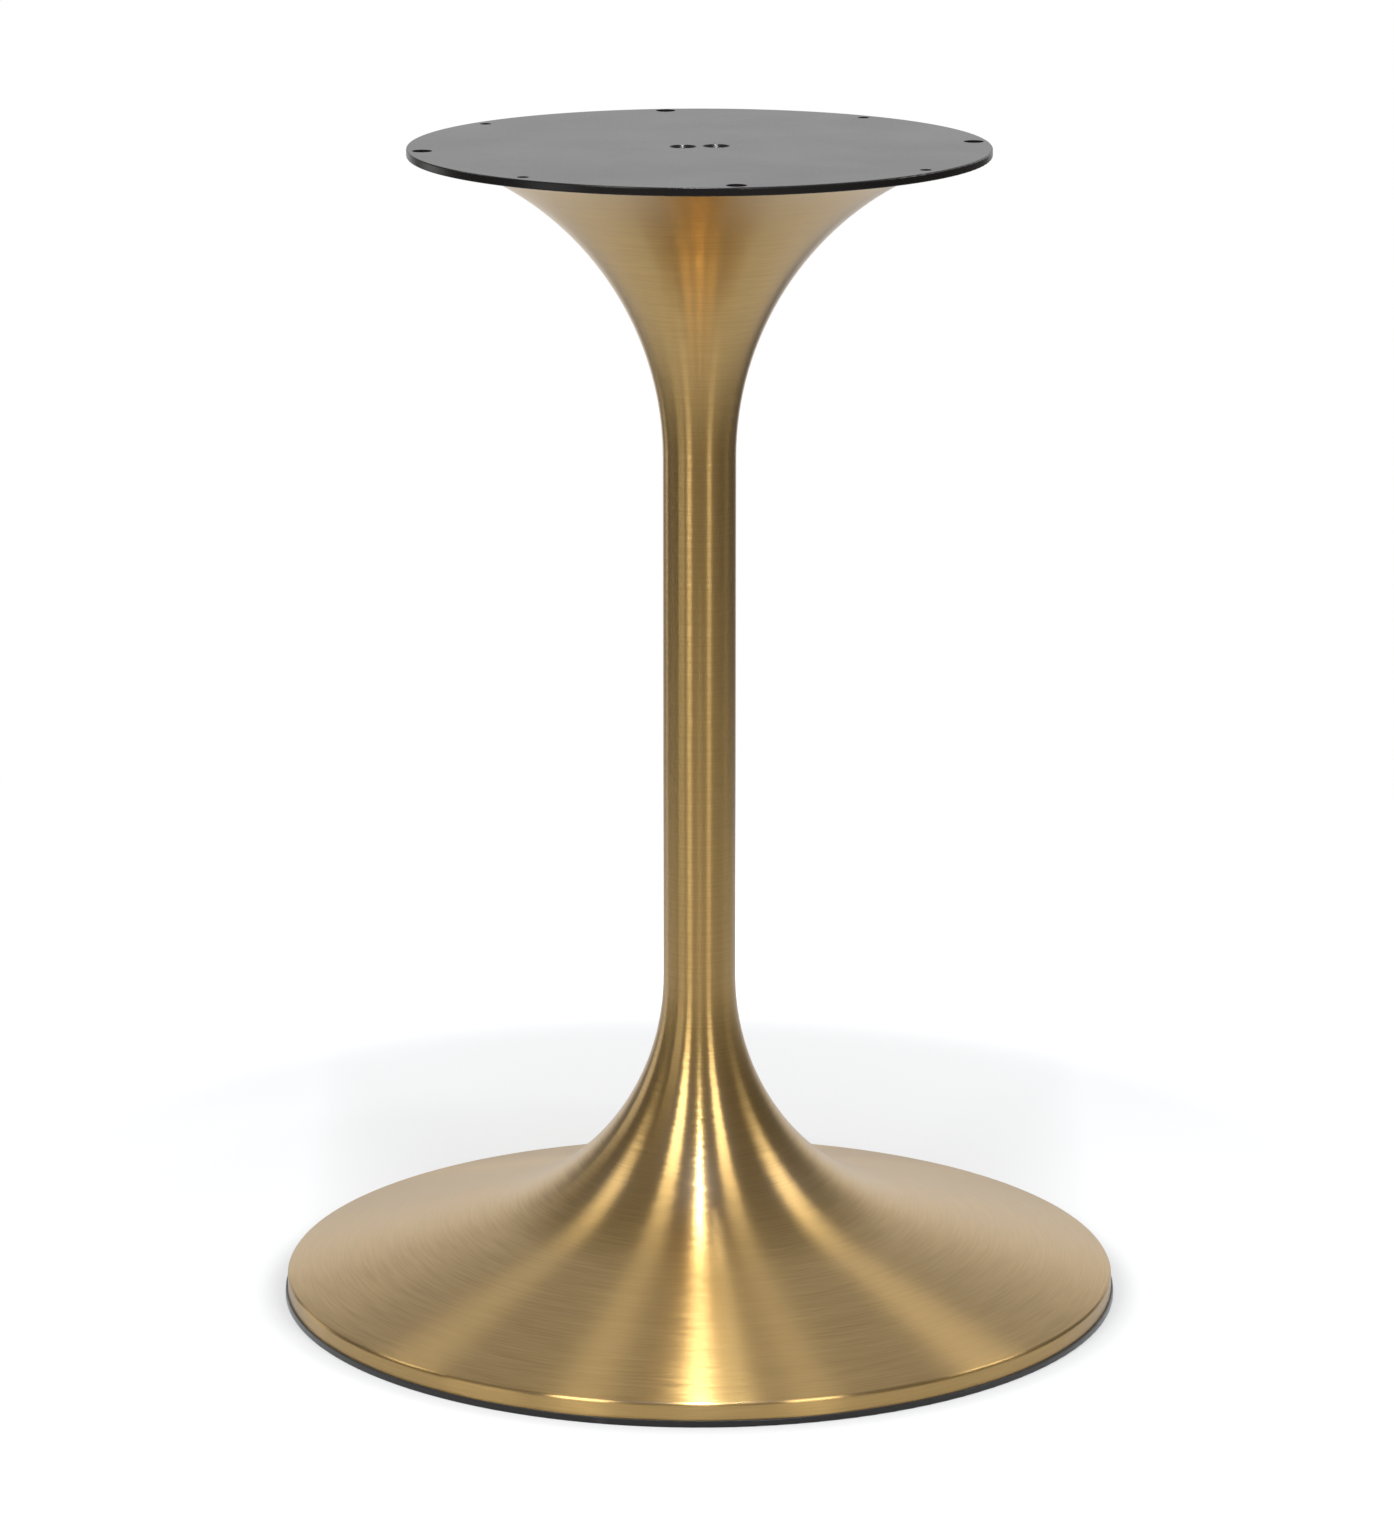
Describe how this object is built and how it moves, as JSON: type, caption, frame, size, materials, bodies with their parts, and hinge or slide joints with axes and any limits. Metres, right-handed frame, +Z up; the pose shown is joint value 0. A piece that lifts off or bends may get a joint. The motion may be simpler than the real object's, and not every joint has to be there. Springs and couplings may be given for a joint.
{
  "type": "tulip table base",
  "caption": "Pedestal table base with a flared foot, a slender stem and a flared head under a drilled round plate, in brushed brass finish, on a rubber edge ring.",
  "frame": {"origin": "on the floor, on the upright axis of the stem", "axes": "+Z up along the stem; +X through the two middle screws and through two of the large rim holes"},
  "size_m": [0.5168, 0.5168, 0.715],
  "materials": {
    "pedestal_brass": "circumferentially brushed brass plating on spun steel sheet",
    "plate_black": "satin black powder coat",
    "fastener_zinc": "bright zinc plate",
    "inner_steel": "bare turned steel",
    "ballast_black": "matt black paint on steel",
    "trim_rubber": "smooth black rubber"
  },
  "bodies": {
    "root": {"pedestal_shell": "pedestal_brass", "top_plate": "plate_black", "plate_screws": "fastener_zinc", "upper_plug": "inner_steel", "core_tube": "inner_steel", "lower_plug": "inner_steel", "ballast_disc": "ballast_black", "ballast_washer": "fastener_zinc", "ballast_bolt": "fastener_zinc", "edge_trim": "trim_rubber"}
  },
  "joints": []
}
